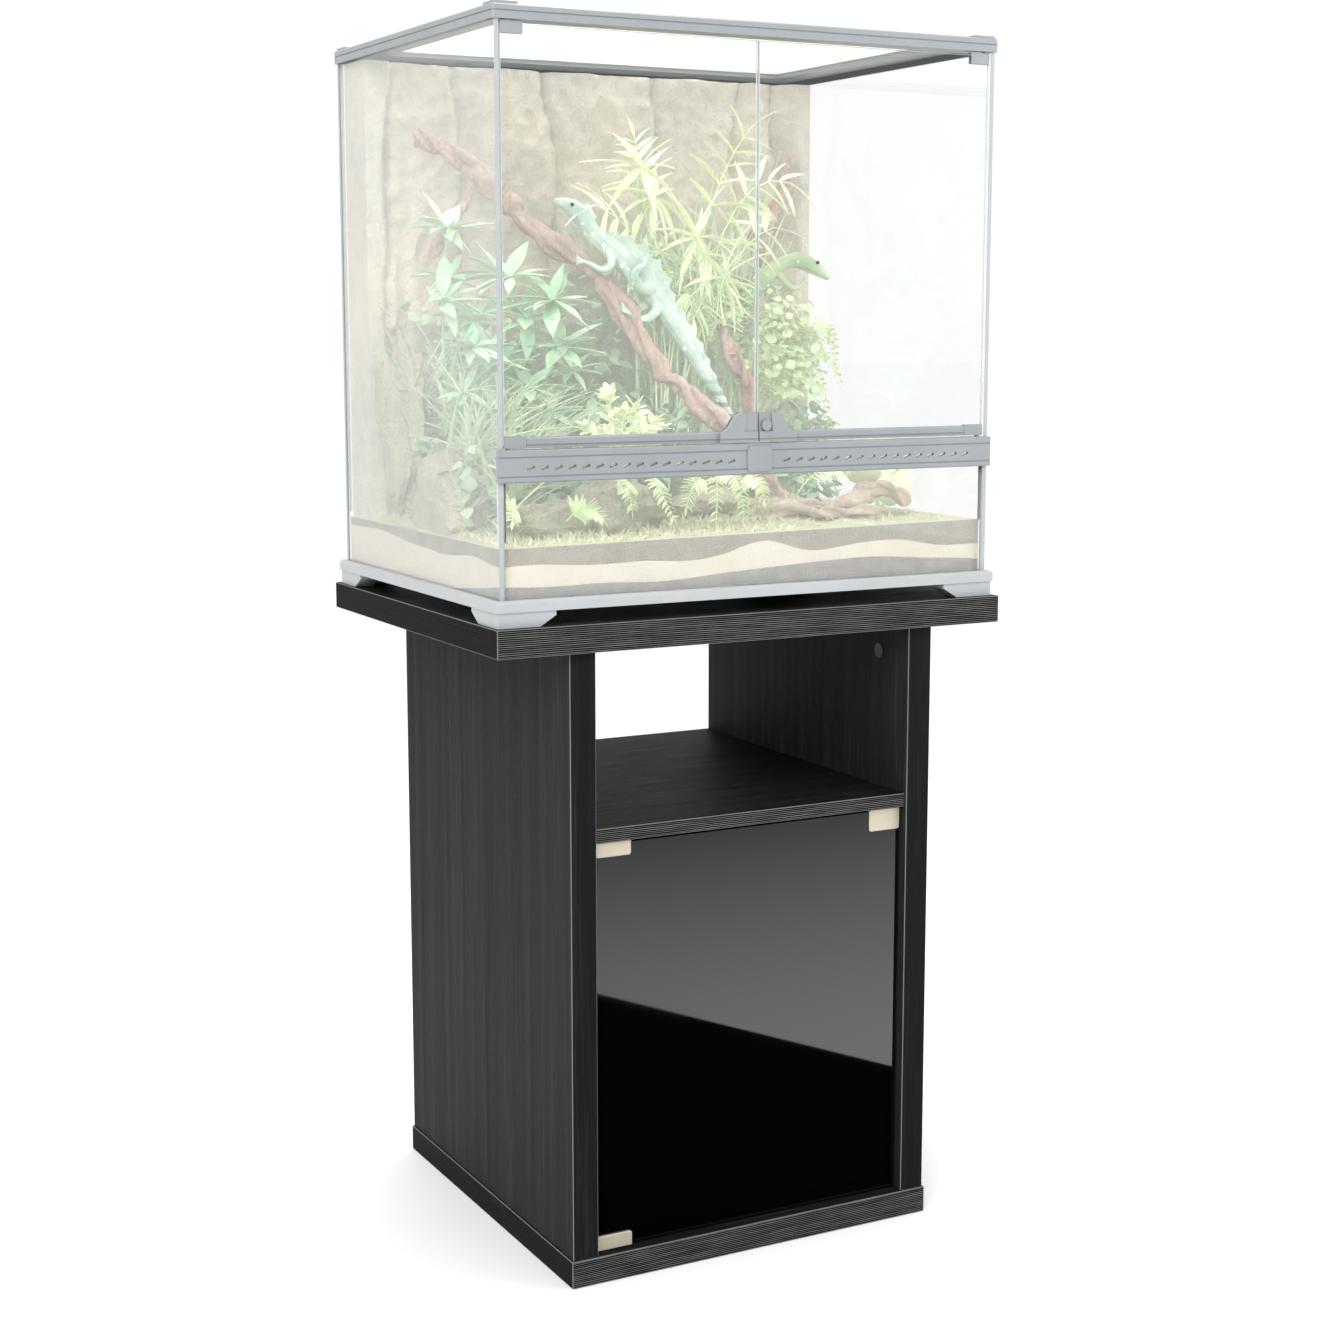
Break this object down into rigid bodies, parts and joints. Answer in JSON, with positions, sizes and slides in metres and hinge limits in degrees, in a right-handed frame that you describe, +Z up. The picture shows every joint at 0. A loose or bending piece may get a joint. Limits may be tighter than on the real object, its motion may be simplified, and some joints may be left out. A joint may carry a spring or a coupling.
{
  "type": "terrarium on cabinet stand",
  "caption": "Front-opening glass terrarium with planted decor on a black wood-grain cabinet with an open shelf, glass door and overhanging top.",
  "frame": {"origin": "on the floor, under the middle of the stand's top panel", "axes": "+Z up, front towards -Y, +X to the right as seen from the front"},
  "size_m": [0.62, 0.48, 1.338],
  "materials": {
    "black_woodgrain": "black wood-grain melamine with a fine vertical grain",
    "hardboard_back": "black faced hardboard",
    "smoked_glass": "smoked black tempered glass",
    "brushed_nickel": "warm brushed nickel",
    "zinc_steel": "zinc plated steel",
    "black_plastic": "fine textured black plastic",
    "dowel_wood": "fluted beech",
    "clear_pad": "soft clear plastic",
    "pale_grey_plastic": "satin moulded plastic",
    "base_plastic": "satin moulded plastic",
    "clear_glass": "clear float glass with polished edges",
    "silicone": "translucent silicone",
    "steel_mesh": "woven stainless wire",
    "rock_foam": "painted foam rock",
    "gravel": "grey drainage gravel",
    "sand": "fine cream sand",
    "soil": "crumbly plantation soil and moss",
    "branch_wood": "weathered vine wood",
    "bamboo_leaf": "fresh yellow-green leaf",
    "broad_leaf": "mid green leaf",
    "fern_leaf": "light green leaf"
  },
  "bodies": {
    "stand": {"top_panel": "black_woodgrain", "bottom_panel": "black_woodgrain", "side_panel_left": "black_woodgrain", "side_panel_right": "black_woodgrain", "middle_shelf": "black_woodgrain", "lower_back_panel": "hardboard_back", "cam_bolts": "zinc_steel", "cam_discs": "zinc_steel", "cam_cover_caps": "black_plastic", "wood_dowels": "dowel_wood", "back_panel_screws": "zinc_steel", "door_pivot_bushes": "black_plastic", "latch_housing": "black_plastic", "latch_screws": "zinc_steel"},
    "cabinet_door": {"cabinet_door_glass": "smoked_glass", "hinge_clip_top": "brushed_nickel", "hinge_clip_bottom": "brushed_nickel", "hinge_pivot_pins": "zinc_steel", "hinge_clip_pads": "clear_pad", "hinge_clip_screws": "zinc_steel", "strike_clip": "brushed_nickel"},
    "push_latch": {"latch_plunger": "black_plastic", "latch_magnet": "zinc_steel"},
    "terrarium": {"base_frame": "base_plastic", "bottom_glass": "clear_glass", "back_glass": "clear_glass", "left_glass": "clear_glass", "right_glass": "clear_glass", "front_lower_glass": "clear_glass", "silicone_seams": "silicone", "top_frame": "pale_grey_plastic", "vent_rail": "pale_grey_plastic", "vent_mesh": "steel_mesh", "name_plate_blank": "pale_grey_plastic", "gravel_bed": "gravel", "sand_bed": "sand", "soil_bed": "soil", "rock_background": "rock_foam", "branch": "branch_wood", "driftwood": "branch_wood", "bamboo_plant": "bamboo_leaf", "broad_leaf_plant": "broad_leaf", "grass_plant": "broad_leaf", "vine_plant": "bamboo_leaf", "fern_plant": "fern_leaf", "pad_plant": "broad_leaf"},
    "left_door": {"door_left_glass": "clear_glass", "door_left_rail": "pale_grey_plastic", "door_left_hinge_blocks": "pale_grey_plastic"},
    "right_door": {"door_right_glass": "clear_glass", "door_right_rail": "pale_grey_plastic", "door_right_hinge_blocks": "pale_grey_plastic"},
    "door_lock": {"door_lock_knob": "pale_grey_plastic", "door_lock_tongue": "zinc_steel"},
    "lid": {"lid_frame": "pale_grey_plastic", "lid_mesh": "steel_mesh"},
    "lid_lock_left": {"lid_lock_left": "pale_grey_plastic"},
    "lid_lock_right": {"lid_lock_right": "pale_grey_plastic"},
    "cable_gate_left": {"cable_gate_left": "pale_grey_plastic"},
    "cable_gate_right": {"cable_gate_right": "pale_grey_plastic"}
  },
  "joints": [
    {"name": "cabinet_door_hinge", "type": "hinge", "parent": "stand", "child": "cabinet_door", "pos_m": [-0.183, -0.2165, 0.2575], "axis": [0, 0, -1], "range_deg": [0, 110]},
    {"name": "push_latch_travel", "type": "slide", "parent": "stand", "child": "push_latch", "axis": [0, 1, 0], "range_m": [0, 0.004], "stiffness_N_per_m": 300},
    {"name": "terrarium_lift_off", "type": "slide", "parent": "stand", "child": "terrarium", "axis": [0, 0, 1], "range_m": [0, 0.12]},
    {"name": "left_door_hinge", "type": "hinge", "parent": "terrarium", "child": "left_door", "pos_m": [-0.288, -0.2215, 1.1], "axis": [0, 0, -1], "range_deg": [0, 120]},
    {"name": "right_door_hinge", "type": "hinge", "parent": "terrarium", "child": "right_door", "pos_m": [0.288, -0.2215, 1.1], "axis": [0, 0, 1], "range_deg": [0, 120]},
    {"name": "door_lock_turn", "type": "hinge", "parent": "right_door", "child": "door_lock", "pos_m": [0.0085, -0.2215, 0.919], "axis": [0, 1, 0], "range_deg": [0, 90]},
    {"name": "lid_lift_off", "type": "slide", "parent": "terrarium", "child": "lid", "axis": [0, 0, 1], "range_m": [0, 0.06]},
    {"name": "lid_lock_left_slide", "type": "slide", "parent": "terrarium", "child": "lid_lock_left", "axis": [1, 0, 0], "range_m": [0, 0.01]},
    {"name": "lid_lock_right_slide", "type": "slide", "parent": "terrarium", "child": "lid_lock_right", "axis": [-1, 0, 0], "range_m": [0, 0.01]},
    {"name": "cable_gate_left_slide", "type": "slide", "parent": "terrarium", "child": "cable_gate_left", "axis": [1, 0, 0], "range_m": [0, 0.022]},
    {"name": "cable_gate_right_slide", "type": "slide", "parent": "terrarium", "child": "cable_gate_right", "axis": [1, 0, 0], "range_m": [0, 0.022]}
  ]
}
